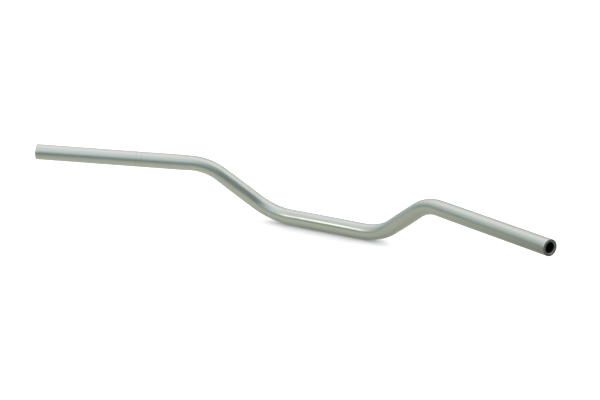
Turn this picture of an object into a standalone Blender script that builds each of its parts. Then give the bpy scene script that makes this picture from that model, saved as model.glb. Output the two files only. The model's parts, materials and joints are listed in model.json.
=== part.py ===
"""Bare motorcycle handlebar: one drawn aluminium tube, bent cold on one former.

Run with: blender --background --python part.py

Units are metres. The origin is the centre of the clamp section, on the tube's axis.
+X runs along the clamp section, +Y is the direction of travel and +Z is up, so the
grips sweep back towards the rider, to -Y. The bar is symmetric about the plane X = 0.
"""
import math

import bmesh
import bpy
from mathutils import Matrix, Vector

# Tube
TUBE_DIAMETER = 0.0222          # standard seat for grips, levers and bar clamps
WALL = 0.0040                   # leaves a bore of 14.2 mm
OUTER_CHAMFER = 0.0005          # broken outer edge at each end
BORE_CHAMFER = 0.0009           # countersunk mouth of the bore at each end

# Half of the centreline, as the corners that the straight stretches would meet at
CLAMP_CORNER_X = 0.0875         # clamp section meets the rise
RISE_TOP_X = 0.1764             # rise meets the grip
RISE_TOP_BACK = 0.0335
RISE_TOP_UP = 0.0690
OVERALL_WIDTH = 0.8025          # between the centres of the two ends
PULLBACK = 0.1384               # ends behind the clamp section
RISE = 0.0802                   # ends above the clamp section
BEND_RADIUS = 0.0797            # centreline radius of the bending former

# Facets
SIDES = 32                      # around the tube
BEND_STEP = math.radians(3.5)   # along each bend
SMOOTH_BELOW = math.radians(25)

# Finish
FINISH_COLOUR = (0.50, 0.55, 0.50, 1.0)
FINISH_ROUGHNESS = 0.32

COLLECTION_NAME = "handlebar"
NODE_NAME = "handlebar_tube"
WELD_DISTANCE = 1e-6
ON_END_PLANE = 1e-5


def clear_scene():
    for old in list(bpy.data.objects):
        bpy.data.objects.remove(old, do_unlink=True)


def centreline_corners():
    """Corners from the left end to the right end."""
    right_half = [
        Vector((CLAMP_CORNER_X, 0.0, 0.0)),
        Vector((RISE_TOP_X, -RISE_TOP_BACK, RISE_TOP_UP)),
        Vector((OVERALL_WIDTH / 2, -PULLBACK, RISE)),
    ]
    left_half = [Vector((-corner.x, corner.y, corner.z)) for corner in reversed(right_half)]
    return left_half + right_half


def bend_points(before, corner, after):
    """Points on the arc that replaces one corner, tangent to both straights."""
    arriving = (corner - before).normalized()
    leaving = (after - corner).normalized()
    angle = arriving.angle(leaving)
    setback = BEND_RADIUS * math.tan(angle / 2)
    start = corner - arriving * setback
    towards_centre = (leaving - arriving * leaving.dot(arriving)).normalized()
    centre = start + towards_centre * BEND_RADIUS
    turn_axis = arriving.cross(leaving).normalized()
    steps = math.ceil(angle / BEND_STEP)
    points = []
    for step in range(steps + 1):
        turned = Matrix.Rotation(angle * step / steps, 3, turn_axis) @ (start - centre)
        points.append(centre + turned)
    return points


def centreline_points():
    corners = centreline_corners()
    points = [corners[0]]
    for before, corner, after in zip(corners, corners[1:], corners[2:]):
        points.extend(bend_points(before, corner, after))
    points.append(corners[-1])
    return points


def swept_skin(points):
    """Outer surface of the tube, open at both ends."""
    curve = bpy.data.curves.new("tube_centreline", "CURVE")
    curve.dimensions = "3D"
    curve.twist_mode = "MINIMUM"
    curve.bevel_depth = TUBE_DIAMETER / 2
    curve.bevel_resolution = SIDES // 2 - 2
    curve.use_fill_caps = False
    spline = curve.splines.new("POLY")
    spline.points.add(len(points) - 1)
    for spline_point, place in zip(spline.points, points):
        spline_point.co = (*place, 1.0)
    return bpy.data.objects.new("tube_centreline", curve)


def evaluated_mesh(piece):
    graph = bpy.context.evaluated_depsgraph_get()
    return bpy.data.meshes.new_from_object(piece.evaluated_get(graph), depsgraph=graph)


def rim_edges(bm, end, inner):
    """Edges between an end's flat ring and the outer surface, or the bore's wall."""
    split_radius = (TUBE_DIAMETER - WALL) / 2
    found = []
    for edge in bm.edges:
        flat = [abs((v.co - end["centre"]).dot(end["outward"])) < ON_END_PLANE for v in edge.verts]
        if not all(flat):
            continue
        radii = [(v.co - end["centre"]).length for v in edge.verts]
        same_circle = abs(radii[0] - radii[1]) < WALL / 2
        if same_circle and (radii[0] < split_radius) == inner:
            found.append(edge)
    return found


def chamfer(bm, end, inner, width):
    bmesh.ops.bevel(
        bm,
        geom=rim_edges(bm, end, inner),
        offset=width,
        offset_type="OFFSET",
        segments=1,
        profile=0.5,
        affect="EDGES",
    )


def tube_ends(points):
    return [
        {"centre": points[0], "outward": (points[0] - points[1]).normalized()},
        {"centre": points[-1], "outward": (points[-1] - points[-2]).normalized()},
    ]


def make_tube(collection):
    points = centreline_points()
    sweep = swept_skin(points)
    collection.objects.link(sweep)
    skin = evaluated_mesh(sweep)
    bpy.data.objects.remove(sweep, do_unlink=True)
    tube = bpy.data.objects.new(NODE_NAME, skin)
    collection.objects.link(tube)

    bm = bmesh.new()
    bm.from_mesh(skin)
    bmesh.ops.remove_doubles(bm, verts=bm.verts, dist=WELD_DISTANCE)
    bmesh.ops.recalc_face_normals(bm, faces=bm.faces)
    bmesh.ops.solidify(bm, geom=bm.faces[:], thickness=WALL)
    for end in tube_ends(points):
        chamfer(bm, end, False, OUTER_CHAMFER)
        chamfer(bm, end, True, BORE_CHAMFER)
    bmesh.ops.recalc_face_normals(bm, faces=bm.faces)
    bm.to_mesh(skin)
    bm.free()
    skin.shade_smooth()
    skin.set_sharp_from_angle(angle=SMOOTH_BELOW)
    skin.name = NODE_NAME
    return tube


def satin_silver():
    material = bpy.data.materials.new("satin_silver")
    material.use_nodes = True
    shader = material.node_tree.nodes["Principled BSDF"]
    shader.inputs["Base Color"].default_value = FINISH_COLOUR
    shader.inputs["Metallic"].default_value = 1.0
    shader.inputs["Roughness"].default_value = FINISH_ROUGHNESS
    return material


def main():
    clear_scene()
    collection = bpy.data.collections.new(COLLECTION_NAME)
    bpy.context.scene.collection.children.link(collection)
    tube = make_tube(collection)
    tube.data.materials.clear()
    tube.data.materials.append(satin_silver())


main()
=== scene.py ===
"""Looks for the bare motorcycle handlebar: one satin silver tube, seen on a white table.

Units are metres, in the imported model's frame: the origin is the centre of the clamp
section, +X along it, +Y the direction of travel, +Z up.
"""

import json
import math

import bmesh
import bpy
from mathutils import Matrix, Vector


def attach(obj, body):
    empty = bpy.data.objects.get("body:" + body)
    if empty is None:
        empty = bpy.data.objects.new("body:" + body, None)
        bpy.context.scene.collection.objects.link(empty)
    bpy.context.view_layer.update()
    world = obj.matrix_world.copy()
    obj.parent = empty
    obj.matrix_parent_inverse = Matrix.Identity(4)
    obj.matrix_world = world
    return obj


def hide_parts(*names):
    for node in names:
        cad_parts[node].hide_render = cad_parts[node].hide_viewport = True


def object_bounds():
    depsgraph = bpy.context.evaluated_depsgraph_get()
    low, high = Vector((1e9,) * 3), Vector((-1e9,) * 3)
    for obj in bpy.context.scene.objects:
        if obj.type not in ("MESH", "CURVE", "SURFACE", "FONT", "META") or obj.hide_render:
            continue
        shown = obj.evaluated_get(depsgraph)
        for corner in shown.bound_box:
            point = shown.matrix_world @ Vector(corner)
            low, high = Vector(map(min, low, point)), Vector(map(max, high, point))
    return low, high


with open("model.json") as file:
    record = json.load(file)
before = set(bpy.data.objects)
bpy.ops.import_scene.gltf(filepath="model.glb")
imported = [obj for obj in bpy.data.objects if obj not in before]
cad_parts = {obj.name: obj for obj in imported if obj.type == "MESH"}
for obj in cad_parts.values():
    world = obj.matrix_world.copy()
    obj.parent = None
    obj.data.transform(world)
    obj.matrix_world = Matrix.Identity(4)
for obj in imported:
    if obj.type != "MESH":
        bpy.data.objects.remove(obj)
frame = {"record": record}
cad_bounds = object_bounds()

NODE = "handlebar_tube"

# ---------------------------------------------------------------- driving dimensions
MOUNTS = {mount["name"]: mount for mount in frame["record"]["mounts"]}
TUBE_RADIUS = MOUNTS["bar_clamp_seat"]["dims"]["r_mm"] / 1000
BORE_RADIUS = 0.0071
OUTER_CHAMFER = 0.0005
BORE_CHAMFER = 0.0009
BEND_RADIUS = 0.0797
BEND_FLATTENING = 0.03          # a bent tube is this much narrower in its bend's plane
FLATTENING_RUN_OUT = 0.020      # length over which it becomes round again
EDGE_SOFTENING = 0.00012        # how far the shading takes to turn at each chamfer edge

# Corners of the right half of the centreline; the left half mirrors it in X
HALF_CORNERS = (
    Vector((0.0875, 0.0, 0.0)),
    Vector((0.1764, -0.0335, 0.0690)),
    Vector((0.40125, -0.1384, 0.0802)),
)

SIDES = 96
SKIN_BEND_STEP = math.radians(1.5)
BORE_BEND_STEP = math.radians(4.0)
STRAIGHT_STEP = 0.008

UNBENT = "unbent"               # where a point would be if the tube were straight, along +Z
WORKED = "worked"               # 1 on the stretched and squeezed sides of a bend, 0 elsewhere
SKIN_SLOT, END_SLOT, BORE_SLOT = range(3)


# ---------------------------------------------------------------- the tube's centreline
class Station:
    """One place on the centreline: how far along it, which way it runs, how oval it is."""

    def __init__(self, place, direction, along):
        self.place = place
        self.direction = direction
        self.along = along
        self.flattened = 0.0
        self.bend_plane = None


def corners():
    left = [Vector((-corner.x, corner.y, corner.z)) for corner in reversed(HALF_CORNERS)]
    return left + list(HALF_CORNERS)


def bend(before, corner, after):
    """Start of the arc at a corner, its centre, its turning axis and its angle."""
    arriving = (corner - before).normalized()
    leaving = (after - corner).normalized()
    angle = arriving.angle(leaving)
    start = corner - arriving * BEND_RADIUS * math.tan(angle / 2)
    to_centre = (leaving - arriving * leaving.dot(arriving)).normalized()
    return start, start + to_centre * BEND_RADIUS, arriving.cross(leaving).normalized(), angle


def straight_stations(start, end, along):
    length = (end - start).length
    direction = (end - start).normalized()
    count = max(1, round(length / STRAIGHT_STEP))
    return [Station(start + direction * length * i / count, direction, along + length * i / count)
            for i in range(count)]


def bend_stations(start, centre, axis, angle, arriving, along, step):
    count = math.ceil(angle / step)
    found = []
    for i in range(count):
        turn = Matrix.Rotation(angle * i / count, 3, axis)
        place = centre + turn @ (start - centre)
        found.append(Station(place, turn @ arriving, along + BEND_RADIUS * angle * i / count))
    return found


def centreline(bend_step):
    """Stations from the left end to the right end, with the oval stretches marked."""
    points = corners()
    stations, bends = [], []
    here, along = points[0], 0.0
    for before, corner, after in zip(points, points[1:], points[2:]):
        start, centre, axis, angle = bend(before, corner, after)
        stations += straight_stations(here, start, along)
        along += (start - here).length
        arriving = (corner - before).normalized()
        stations += bend_stations(start, centre, axis, angle, arriving, along, bend_step)
        bends.append((along, along + BEND_RADIUS * angle, axis))
        along += BEND_RADIUS * angle
        here = centre + Matrix.Rotation(angle, 3, axis) @ (start - centre)
    stations += straight_stations(here, points[-1], along)
    last_run = (points[-1] - here)
    stations.append(Station(points[-1], last_run.normalized(), along + last_run.length))
    for station in stations:
        mark_oval(station, bends)
    return stations


def mark_oval(station, bends):
    """How flattened the tube is here, from the nearest bend, and the normal of its plane."""
    nearest = min(bends, key=lambda b: max(b[0] - station.along, station.along - b[1]))
    outside = max(nearest[0] - station.along, station.along - nearest[1], 0.0)
    station.bend_plane = nearest[2]
    if outside < FLATTENING_RUN_OUT:
        fade = 0.5 + 0.5 * math.cos(math.pi * outside / FLATTENING_RUN_OUT)
        station.flattened = BEND_FLATTENING * fade


# ---------------------------------------------------------------- the tube's mesh
def carried_frames(stations):
    """Two directions across the tube at each station, carried along it without twist."""
    side = stations[0].direction.orthogonal().normalized()
    frames = []
    previous = stations[0].direction
    for station in stations:
        side = previous.rotation_difference(station.direction) @ side
        side = (side - station.direction * side.dot(station.direction)).normalized()
        frames.append((side, station.direction.cross(side)))
        previous = station.direction
    return frames


def ring(bm, station, across, radius, shift=0.0):
    """One ring of vertices. shift moves it along the tube, for the turned ends."""
    unbent = bm.verts.layers.float_vector[UNBENT]
    worked = bm.verts.layers.float[WORKED]
    made = []
    centre = station.place + station.direction * shift
    squeeze_axis = station.bend_plane.cross(station.direction).normalized()
    for i in range(SIDES):
        angle = 2 * math.pi * i / SIDES
        out = across[0] * math.cos(angle) + across[1] * math.sin(angle)
        in_plane = out.dot(squeeze_axis)
        offset = (out - squeeze_axis * in_plane * station.flattened) * radius
        vertex = bm.verts.new(centre + offset)
        vertex[unbent] = (radius * math.cos(angle), radius * math.sin(angle), station.along + shift)
        vertex[worked] = in_plane ** 2 * station.flattened / BEND_FLATTENING
        made.append(vertex)
    return made


def bridge(bm, first, second, slot):
    for i in range(SIDES):
        j = (i + 1) % SIDES
        face = bm.faces.new((first[i], first[j], second[j], second[i]))
        face.material_index = slot
        face.smooth = True


def end_profile():
    """(depth behind the end, radius, slot of the band that leads to it), outer skin to bore."""
    soft = EDGE_SOFTENING
    outer, bore = TUBE_RADIUS, BORE_RADIUS
    return [
        (OUTER_CHAMFER + soft, outer, SKIN_SLOT),
        (OUTER_CHAMFER - soft / 4, outer - soft / 4, SKIN_SLOT),
        (soft / 4, outer - OUTER_CHAMFER + soft / 4, END_SLOT),
        (0.0, outer - OUTER_CHAMFER - soft, END_SLOT),
        (0.0, (outer + bore) / 2, END_SLOT),
        (0.0, bore + BORE_CHAMFER + soft, END_SLOT),
        (soft / 4, bore + BORE_CHAMFER - soft / 4, END_SLOT),
        (BORE_CHAMFER - soft / 4, bore + soft / 4, END_SLOT),
        (BORE_CHAMFER + soft, bore, END_SLOT),
    ]


def tube_mesh():
    bm = bmesh.new()
    bm.verts.layers.float_vector.new(UNBENT)
    bm.verts.layers.float.new(WORKED)
    skin = centreline(SKIN_BEND_STEP)
    bore = centreline(BORE_BEND_STEP)
    skin_across = carried_frames(skin)
    bore_across = carried_frames(bore)

    def end_rings(index, towards_middle):
        return [ring(bm, skin[index], skin_across[index], radius, depth * towards_middle)
                for depth, radius, slot in end_profile()]

    slots = [slot for depth, radius, slot in end_profile()][1:]
    left = end_rings(0, 1)
    right = end_rings(-1, -1)
    outside = [left[0]]
    outside += [ring(bm, s, a, TUBE_RADIUS) for s, a in zip(skin[1:-1], skin_across[1:-1])]
    outside.append(right[0])
    inside = [left[-1]]
    inside += [ring(bm, s, a, BORE_RADIUS) for s, a in zip(bore[1:-1], bore_across[1:-1])]
    inside.append(right[-1])
    for first, second in zip(outside, outside[1:]):
        bridge(bm, first, second, SKIN_SLOT)
    for first, second in zip(inside, inside[1:]):
        bridge(bm, second, first, BORE_SLOT)
    for slot, first, second in zip(slots, left, left[1:]):
        bridge(bm, second, first, slot)
    for slot, first, second in zip(slots, right, right[1:]):
        bridge(bm, first, second, slot)
    bmesh.ops.recalc_face_normals(bm, faces=bm.faces)
    mesh = bpy.data.meshes.new("bar_tube")
    bm.to_mesh(mesh)
    bm.free()
    return mesh


# ---------------------------------------------------------------- materials
class Shader:
    """A node material with its Principled BSDF, and short calls for the nodes it needs."""

    def __init__(self, name, colour, metallic, roughness):
        self.material = bpy.data.materials.new(name)
        self.material.use_nodes = True
        self.nodes = self.material.node_tree.nodes
        self.links = self.material.node_tree.links
        self.bsdf = self.nodes["Principled BSDF"]
        self.bsdf.inputs["Base Color"].default_value = (*colour, 1.0)
        self.bsdf.inputs["Metallic"].default_value = metallic
        self.bsdf.inputs["Roughness"].default_value = roughness

    def attribute(self, name):
        node = self.nodes.new("ShaderNodeAttribute")
        node.attribute_name = name
        return node

    def unbent(self, stretch=(1.0, 1.0, 1.0)):
        mapping = self.nodes.new("ShaderNodeMapping")
        mapping.inputs["Scale"].default_value = stretch
        self.links.new(self.attribute(UNBENT).outputs["Vector"], mapping.inputs["Vector"])
        return mapping.outputs["Vector"]

    def position(self):
        return self.nodes.new("ShaderNodeNewGeometry").outputs["Position"]

    def separated(self, vector):
        node = self.nodes.new("ShaderNodeSeparateXYZ")
        self.links.new(vector, node.inputs["Vector"])
        return node.outputs

    def distance_from_axis(self):
        node = self.nodes.new("ShaderNodeVectorMath")
        node.operation = "LENGTH"
        self.links.new(self.unbent((1.0, 1.0, 0.0)), node.inputs[0])
        return node.outputs["Value"]

    def noise(self, vector, scale, detail=2.0, rough=0.5):
        node = self.nodes.new("ShaderNodeTexNoise")
        node.inputs["Scale"].default_value = scale
        node.inputs["Detail"].default_value = detail
        node.inputs["Roughness"].default_value = rough
        self.links.new(vector, node.inputs["Vector"])
        return node.outputs["Fac"]

    def spread(self, value, low, high, low_in=0.3, high_in=0.7):
        node = self.nodes.new("ShaderNodeMapRange")
        node.inputs["From Min"].default_value = low_in
        node.inputs["From Max"].default_value = high_in
        node.inputs["To Min"].default_value = low
        node.inputs["To Max"].default_value = high
        self.links.new(value, node.inputs["Value"])
        return node.outputs["Result"]

    def math(self, operation, *values):
        node = self.nodes.new("ShaderNodeMath")
        node.operation = operation
        for socket, value in zip(node.inputs, values):
            if isinstance(value, (int, float)):
                socket.default_value = value
            else:
                self.links.new(value, socket)
        return node.outputs["Value"]

    def tinted(self, colour, brightness):
        """colour times a brightness that varies over the surface."""
        node = self.nodes.new("ShaderNodeVectorMath")
        node.operation = "SCALE"
        node.inputs[0].default_value = colour
        self.links.new(brightness, node.inputs["Scale"])
        return node.outputs["Vector"]

    def bump(self, height, strength, distance, under=None):
        node = self.nodes.new("ShaderNodeBump")
        node.inputs["Strength"].default_value = strength
        node.inputs["Distance"].default_value = distance
        self.links.new(height, node.inputs["Height"])
        if under is not None:
            self.links.new(under, node.inputs["Normal"])
        return node.outputs["Normal"]

    def feed(self, socket, value):
        self.links.new(value, self.bsdf.inputs[socket])


SKIN_COLOUR = (0.503, 0.550, 0.497)
SKIN_ROUGHNESS = 0.32
END_COLOUR = (0.310, 0.325, 0.300)
END_ROUGHNESS = 0.45
# The bore's near-black colour is painted shade: the inside of the tube is coloured dark for the
# shade that falls there
BORE_SHADE_COLOUR = (0.050, 0.050, 0.050)
BORE_ROUGHNESS = 0.60

# Two hairline witness marks round the left grip, measured from the left end
WITNESS_MARKS = (0.1462, 0.1536)
EDGE_WEAR_WIDTH = 0.0022
MARK_CORE, MARK_EDGE = 0.0002, 0.0006   # half-widths of a mark: fully dark, fully faded
GROOVE_PITCH = 0.00022          # the facing tool's feed on the cut ends
END_FADE_PAST_MIDDLE = 0.001    # an end ring stops darkening this far outside the wall's middle

# Noise patterns, in cycles per metre: one number for every direction, or two across the
# tube and one along it
FINE_LINES = (2600.0, 2600.0, 14.0)
BROAD_LINES = (620.0, 620.0, 5.0)
CLOUDS = (38.0, 38.0, 22.0)
RUBS = (190.0, 190.0, 70.0)
GRAIN = 4200.0
END_FILM = 700.0
BORE_LINES = (1500.0, 1500.0, 10.0)
BORE_STAINS = 120.0

# Depths of the fine relief
GRAIN_DEPTH = 0.000015
FINE_LINE_DEPTH = 0.000010
GROOVE_DEPTH = 0.000008
BORE_LINE_DEPTH = 0.000015


def satin_silver(length):
    """Drawn, blasted and clear anodised: lengthwise lines, faint clouds, fine grain."""
    shader = Shader("satin_silver", SKIN_COLOUR, 1.0, SKIN_ROUGHNESS)
    fine_lines = shader.noise(shader.unbent(FINE_LINES), 1.0, 2.0)
    broad_lines = shader.noise(shader.unbent(BROAD_LINES), 1.0, 2.0)
    clouds = shader.noise(shader.unbent(CLOUDS), 1.0, 3.0)
    grain = shader.noise(shader.unbent(), GRAIN, 2.0, 0.6)
    rubs = shader.noise(shader.unbent(RUBS), 1.0, 4.0, 0.6)
    rubs = shader.spread(rubs, 0.0, 1.0, 0.62, 0.72)
    worked = shader.attribute(WORKED).outputs["Fac"]

    along = shader.separated(shader.unbent())["Z"]
    from_end = shader.math("MINIMUM", along, shader.math("SUBTRACT", length, along))
    wear = shader.spread(from_end, 1.0, 0.0, EDGE_WEAR_WIDTH / 4, EDGE_WEAR_WIDTH)
    wear = shader.math("MULTIPLY", wear, shader.spread(clouds, 0.5, 1.0))
    marks = 0.0
    for place in WITNESS_MARKS:
        away = shader.math("ABSOLUTE", shader.math("SUBTRACT", along, place))
        marks = shader.math("ADD", shader.spread(away, 1.0, 0.0, MARK_CORE, MARK_EDGE), marks)

    brightness = shader.math("MULTIPLY", shader.spread(fine_lines, 0.985, 1.015),
                             shader.spread(broad_lines, 0.980, 1.020))
    brightness = shader.math("MULTIPLY", brightness, shader.spread(clouds, 0.985, 1.015))
    for amount, mask in ((0.08, wear), (-0.16, marks), (-0.03, rubs), (-0.015, worked)):
        factor = shader.math("MULTIPLY_ADD", mask, amount, 1.0)
        brightness = shader.math("MULTIPLY", brightness, factor)
    shader.feed("Base Color", shader.tinted(SKIN_COLOUR, brightness))

    roughness = shader.spread(fine_lines, SKIN_ROUGHNESS - 0.02, SKIN_ROUGHNESS + 0.02)
    roughness = shader.math("ADD", roughness, shader.spread(clouds, -0.015, 0.015))
    for amount, mask in ((-0.06, wear), (0.05, rubs), (0.03, worked)):
        roughness = shader.math("MULTIPLY_ADD", mask, amount, roughness)
    shader.feed("Roughness", roughness)

    normal = shader.bump(grain, 0.25, GRAIN_DEPTH)
    normal = shader.bump(fine_lines, 0.15, FINE_LINE_DEPTH, normal)
    shader.feed("Normal", normal)
    return shader.material


def turned_end():
    """A faced ring: concentric grooves, paler towards the bore, under a dull film."""
    shader = Shader("turned_end", END_COLOUR, 1.0, END_ROUGHNESS)
    radius = shader.distance_from_axis()
    turns = shader.math("MULTIPLY", radius, 2 * math.pi / GROOVE_PITCH)
    grooves = shader.math("SINE", turns)
    film = shader.noise(shader.unbent(), END_FILM, 3.0)
    ring_start = BORE_RADIUS + BORE_CHAMFER
    fade_end = (TUBE_RADIUS + BORE_RADIUS) / 2 + END_FADE_PAST_MIDDLE
    brightness = shader.spread(radius, 1.02, 0.85, ring_start, fade_end)
    brightness = shader.math("MULTIPLY", brightness, shader.spread(film, 0.93, 1.07))
    brightness = shader.math("MULTIPLY", brightness, shader.spread(grooves, 0.97, 1.03, -1.0, 1.0))
    shader.feed("Base Color", shader.tinted(END_COLOUR, brightness))
    shader.feed("Roughness", shader.spread(film, END_ROUGHNESS - 0.05, END_ROUGHNESS + 0.07))
    shader.feed("Normal", shader.bump(grooves, 0.3, GROOVE_DEPTH))
    return shader.material


def drawn_bore_painted_shade():
    """The unfinished inside, coloured near black as painted shade, with lengthwise lines from the
    drawing mandrel.
    """
    shader = Shader("drawn_bore_painted_shade", BORE_SHADE_COLOUR, 1.0, BORE_ROUGHNESS)
    lines = shader.noise(shader.unbent(BORE_LINES), 1.0, 3.0)
    stains = shader.noise(shader.unbent(), BORE_STAINS, 3.0)
    brightness = shader.math("MULTIPLY", shader.spread(lines, 0.80, 1.20),
                             shader.spread(stains, 0.75, 1.25))
    shader.feed("Base Color", shader.tinted(BORE_SHADE_COLOUR, brightness))
    shader.feed("Roughness", shader.spread(stains, BORE_ROUGHNESS - 0.1, BORE_ROUGHNESS + 0.1))
    shader.feed("Normal", shader.bump(lines, 0.3, BORE_LINE_DEPTH))
    return shader.material


def make_bar():
    bar = bpy.data.objects.new("bar_tube", tube_mesh())
    bpy.context.scene.collection.objects.link(bar)
    length = centreline(SKIN_BEND_STEP)[-1].along
    for material in (satin_silver(length), turned_end(), drawn_bore_painted_shade()):
        bar.data.materials.append(material)
    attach(bar, "root")
    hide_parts(NODE)


# ---------------------------------------------------------------- stage
CAMERA_AZIMUTH = math.radians(30.73)
CAMERA_ELEVATION = math.radians(18.35)
CAMERA_DISTANCE = 2.786
CAMERA_AIM = Vector((-0.03689, -0.00960, 0.03187))
CAMERA_LENS = 118.5             # focal length in millimetres, for the sensor below
CAMERA_SENSOR = 36.0            # width in millimetres
CAMERA_FAR_CLIP = 50.0
FLOOR_SIZE = 12.0
FLOOR_HEIGHT = cad_bounds[0][2]
FLOOR_ALBEDO, FLOOR_ROUGHNESS = 0.98, 0.8
FLOOR_PAINTED_GLOW = (0.03, 0.45)       # painted light: the floor's own emission at the bar's foot, and far from it
FOOT_HALF_LENGTH = 0.042        # half of the line under the clamp section that counts as foot
FOOT_NEAR, FOOT_FAR = 0.012, 0.080      # the glow rises between these distances from the foot


def direction(azimuth, elevation):
    """Unit vector towards an azimuth in degrees, 0 at +Y and 90 at +X, and an elevation."""
    a, e = math.radians(azimuth), math.radians(elevation)
    return Vector((math.sin(a) * math.cos(e), math.cos(a) * math.cos(e), math.sin(e)))


def make_camera():
    data = bpy.data.cameras.new("camera")
    data.lens = CAMERA_LENS
    data.sensor_width = CAMERA_SENSOR
    data.clip_end = CAMERA_FAR_CLIP
    camera = bpy.data.objects.new("camera", data)
    bpy.context.scene.collection.objects.link(camera)
    towards = Vector((
        math.sin(CAMERA_AZIMUTH) * math.cos(CAMERA_ELEVATION),
        -math.cos(CAMERA_AZIMUTH) * math.cos(CAMERA_ELEVATION),
        math.sin(CAMERA_ELEVATION),
    ))
    camera.location = CAMERA_AIM + towards * CAMERA_DISTANCE
    camera.rotation_euler = (-towards).to_track_quat("-Z", "Y").to_euler()
    bpy.context.scene.camera = camera


def stage_plane(name, height, shader):
    bpy.ops.mesh.primitive_plane_add(size=FLOOR_SIZE, location=(0.0, 0.0, height))
    plane = bpy.context.object
    plane.name = name
    plane.data.materials.append(shader.material)
    return plane


def make_floor():
    """The white floor that is seen.

    The bar mirrors a second plane instead, which fades from a pale table into a darker
    room, so that no table edge shows in any view.
    """
    shader = Shader("white_table", (FLOOR_ALBEDO,) * 3, 0.0, FLOOR_ROUGHNESS)
    shader.bsdf.inputs["Emission Color"].default_value = (1.0, 1.0, 1.0, 1.0)
    place = shader.separated(shader.position())
    beyond = shader.math("SUBTRACT", shader.math("ABSOLUTE", place["X"]), FOOT_HALF_LENGTH)
    beyond = shader.math("MAXIMUM", beyond, 0.0)
    squares = shader.math("MULTIPLY", beyond, beyond)
    squares = shader.math("MULTIPLY_ADD", place["Y"], place["Y"], squares)
    from_foot = shader.math("SQRT", squares)
    # Painted light: the floor glows, faintly at the bar's foot and strongly away from it, which
    # washes out the bar's wider shadows and leaves only the shadow at the foot
    glow = shader.spread(from_foot, *FLOOR_PAINTED_GLOW, FOOT_NEAR, FOOT_FAR)
    glow.node.interpolation_type = "SMOOTHSTEP"
    shader.feed("Emission Strength", glow)
    floor = stage_plane("floor", FLOOR_HEIGHT, shader)
    floor.visible_glossy = False


# The plane that the bar mirrors: all table within one radius, all room beyond the other
TABLE_CENTRE = (-0.44, 0.83)
TABLE_RADIUS, ROOM_RADIUS = 0.83, 1.36
TABLE_ALBEDO, ROOM_ALBEDO = 0.59, 0.235
TABLE_WARMTH = (1.0, 0.99, 0.88)
TABLE_GLOW = 0.451              # lightens the mirrored contact shadow
TABLE_LIFT = 0.0003             # keeps it clear of the floor that is seen


def make_mirrored_table():
    height = FLOOR_HEIGHT + TABLE_LIFT
    shader = Shader("mirrored_table", (TABLE_ALBEDO,) * 3, 0.0, 1.0)
    shader.bsdf.inputs["Specular IOR Level"].default_value = 0.0
    distance = shader.nodes.new("ShaderNodeVectorMath")
    distance.operation = "DISTANCE"
    distance.inputs[1].default_value = (*TABLE_CENTRE, height)
    shader.links.new(shader.position(), distance.inputs[0])
    fade = shader.spread(distance.outputs["Value"], TABLE_ALBEDO, ROOM_ALBEDO,
                         TABLE_RADIUS, ROOM_RADIUS)
    fade.node.interpolation_type = "SMOOTHSTEP"
    table_colour = shader.tinted(TABLE_WARMTH, fade)
    shader.feed("Base Color", table_colour)
    shader.feed("Emission Color", table_colour)
    shader.bsdf.inputs["Emission Strength"].default_value = TABLE_GLOW
    table = stage_plane("mirrored_table", height, shader)
    table.visible_camera = False
    table.visible_diffuse = False
    table.visible_shadow = False


# Soft patches of light all round. name: azimuth, elevation, sharpness, colour times strength
SOFTBOXES = {
    "overhead": (0, 80, 6, (1.285, 1.200, 1.280)),
    "back_right": (65, 50, 12, (0.965, 0.980, 1.000)),
    "back_left": (-55, 38, 9, (1.005, 0.905, 0.945)),
    "left": (-85, 18, 12, (0.254, 0.416, 0.407)),
    "front_left": (-128, 18, 14, (0.627, 0.576, 0.575)),
    "left_high": (-120, 48, 8, (0.624, 0.526, 0.507)),
    "front": (172, 46, 9, (0.888, 0.932, 0.991)),
    "front_low": (175, 16, 16, (0.431, 0.508, 0.545)),
    "back_low": (-25, 14, 12, (0.480, 0.470, 0.470)),
    "back_narrow": (10, 34, 30, (1.230, 1.140, 1.080)),
    "left_low": (-62, 5, 14, (0.335, 0.268, 0.261)),
    "right_low": (100, 12, 14, (0.06, 0.06, 0.06)),
    "back_right_low": (55, 14, 12, (0.25, 0.25, 0.25)),
}
ROOM_LIGHT = (0.01, 0.04, 0.05)
KEY_AZIMUTH, KEY_ELEVATION, KEY_DISTANCE = -150, 27.5, 2.53
KEY_WIDTH, KEY_HEIGHT = 0.41, 0.29
KEY_RADIANCE = (10.9, 10.5, 9.9)


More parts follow.
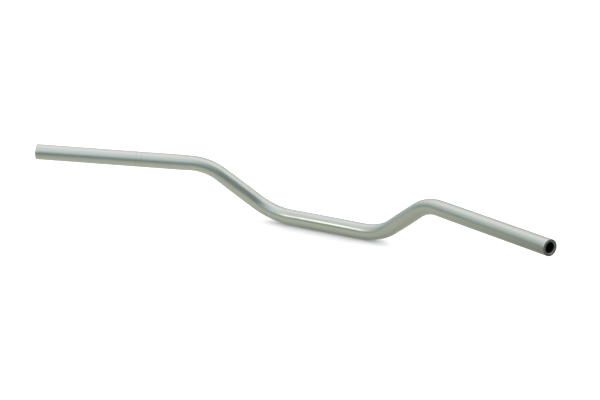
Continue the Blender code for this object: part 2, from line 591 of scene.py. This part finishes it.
def make_key_light():
    data = bpy.data.lights.new("key", "AREA")
    data.shape = "RECTANGLE"
    data.size = KEY_WIDTH
    data.size_y = KEY_HEIGHT
    data.energy = max(KEY_RADIANCE) * KEY_WIDTH * KEY_HEIGHT * math.pi
    data.color = [part / max(KEY_RADIANCE) for part in KEY_RADIANCE]
    light = bpy.data.objects.new("key", data)
    bpy.context.scene.collection.objects.link(light)
    towards = direction(KEY_AZIMUTH, KEY_ELEVATION)
    light.location = towards * KEY_DISTANCE
    light.rotation_euler = towards.to_track_quat("Z", "Y").to_euler()
    light.visible_camera = False


def make_world():
    """A dim room plus each softbox, which fades smoothly round its own direction."""
    world = bpy.data.worlds.new("studio")
    world.use_nodes = True
    nodes, links = world.node_tree.nodes, world.node_tree.links

    def vector_math(operation, *inputs):
        node = nodes.new("ShaderNodeVectorMath")
        node.operation = operation
        for socket, value in zip(node.inputs, inputs):
            if isinstance(value, bpy.types.NodeSocket):
                links.new(value, socket)
            else:
                socket.default_value = value
        return node

    coordinates = nodes.new("ShaderNodeTexCoord")
    looking = vector_math("NORMALIZE", coordinates.outputs["Generated"]).outputs["Vector"]
    total = None
    for azimuth, elevation, sharpness, colour in SOFTBOXES.values():
        towards = direction(azimuth, elevation)
        facing = vector_math("DOT_PRODUCT", looking, towards).outputs["Value"]
        exponent = nodes.new("ShaderNodeMath")
        exponent.operation = "MULTIPLY_ADD"
        links.new(facing, exponent.inputs[0])
        exponent.inputs[1].default_value = sharpness
        exponent.inputs[2].default_value = -sharpness
        glow = nodes.new("ShaderNodeMath")
        glow.operation = "EXPONENT"
        links.new(exponent.outputs["Value"], glow.inputs[0])
        patch = vector_math("SCALE", colour)
        links.new(glow.outputs["Value"], patch.inputs["Scale"])
        before = ROOM_LIGHT if total is None else total
        total = vector_math("ADD", before, patch.outputs["Vector"]).outputs["Vector"]
    background = nodes["Background"]
    links.new(total, background.inputs["Color"])
    bpy.context.scene.world = world


make_bar()
make_floor()
make_mirrored_table()
make_key_light()
make_world()
make_camera()
bpy.context.scene.view_settings.view_transform = "Standard"
